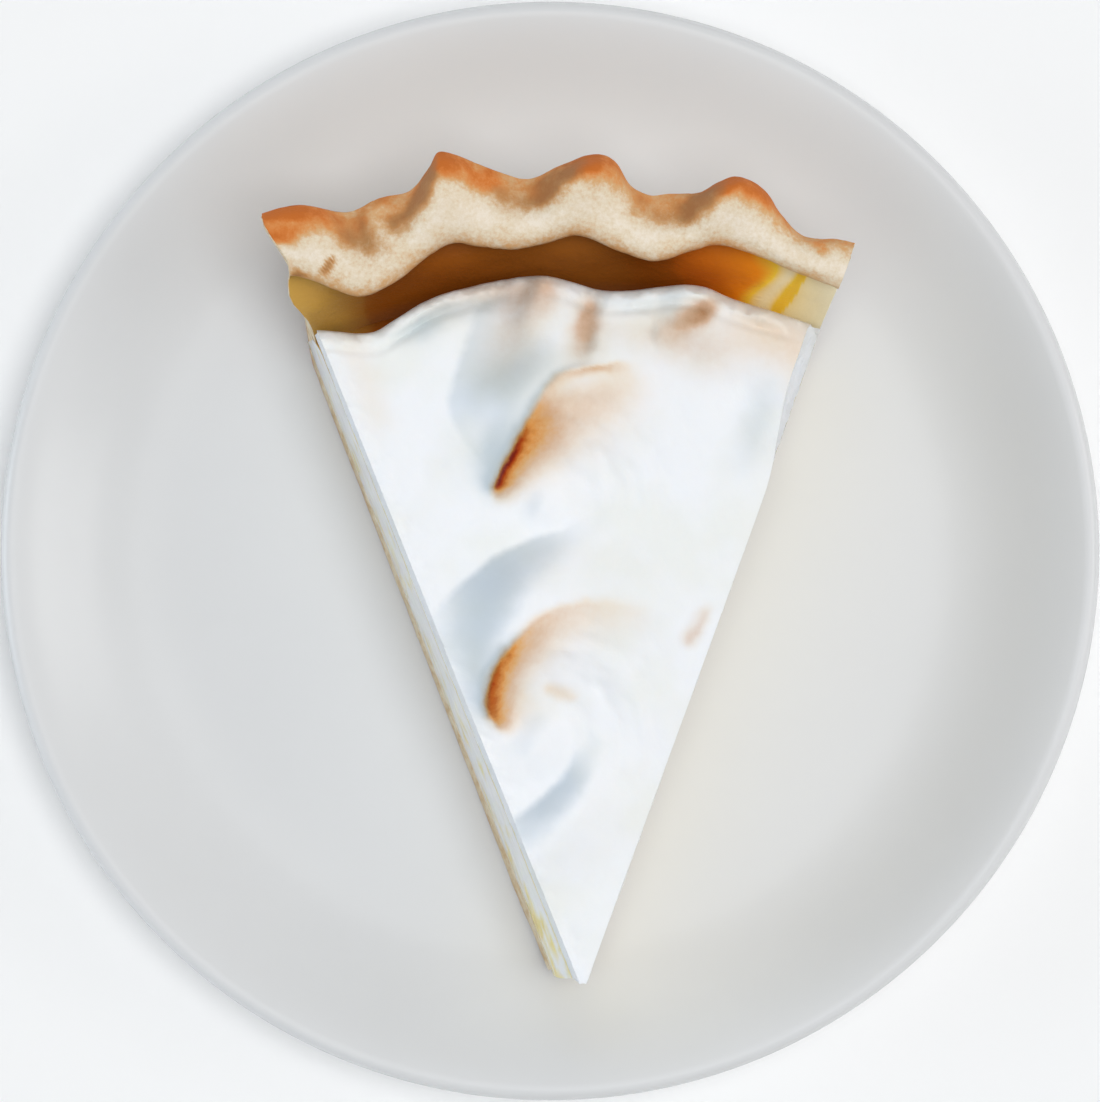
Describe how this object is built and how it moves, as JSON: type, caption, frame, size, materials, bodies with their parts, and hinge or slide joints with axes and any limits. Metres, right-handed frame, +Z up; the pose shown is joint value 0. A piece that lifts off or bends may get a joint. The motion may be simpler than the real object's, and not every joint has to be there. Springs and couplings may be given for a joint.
{
  "type": "lemon meringue pie slice on plate",
  "caption": "Slice of lemon meringue pie with a crimped pastry rim and swirled, toasted meringue, served on a small round white porcelain coupe plate.",
  "frame": {"origin": "middle of the plate's foot ring, at the height of the table", "axes": "+Z up out of the plate, +Y from the slice's tip towards its crust, +X to the right as seen with the tip nearest the viewer"},
  "size_m": [0.18, 0.18, 0.0467],
  "materials": {
    "porcelain": "smooth white glaze with a soft shine",
    "baked_pastry": "dry baked shortcrust, pale cream inside and browned on its crimped points",
    "lemon_filling": "moist, glossy set lemon curd, slightly translucent",
    "toasted_meringue": "soft white baked foam, toasted brown on the crests of its swirls"
  },
  "bodies": {
    "root": {"plate": "porcelain", "crust": "baked_pastry", "lemon_filling": "lemon_filling", "meringue": "toasted_meringue"}
  },
  "joints": []
}
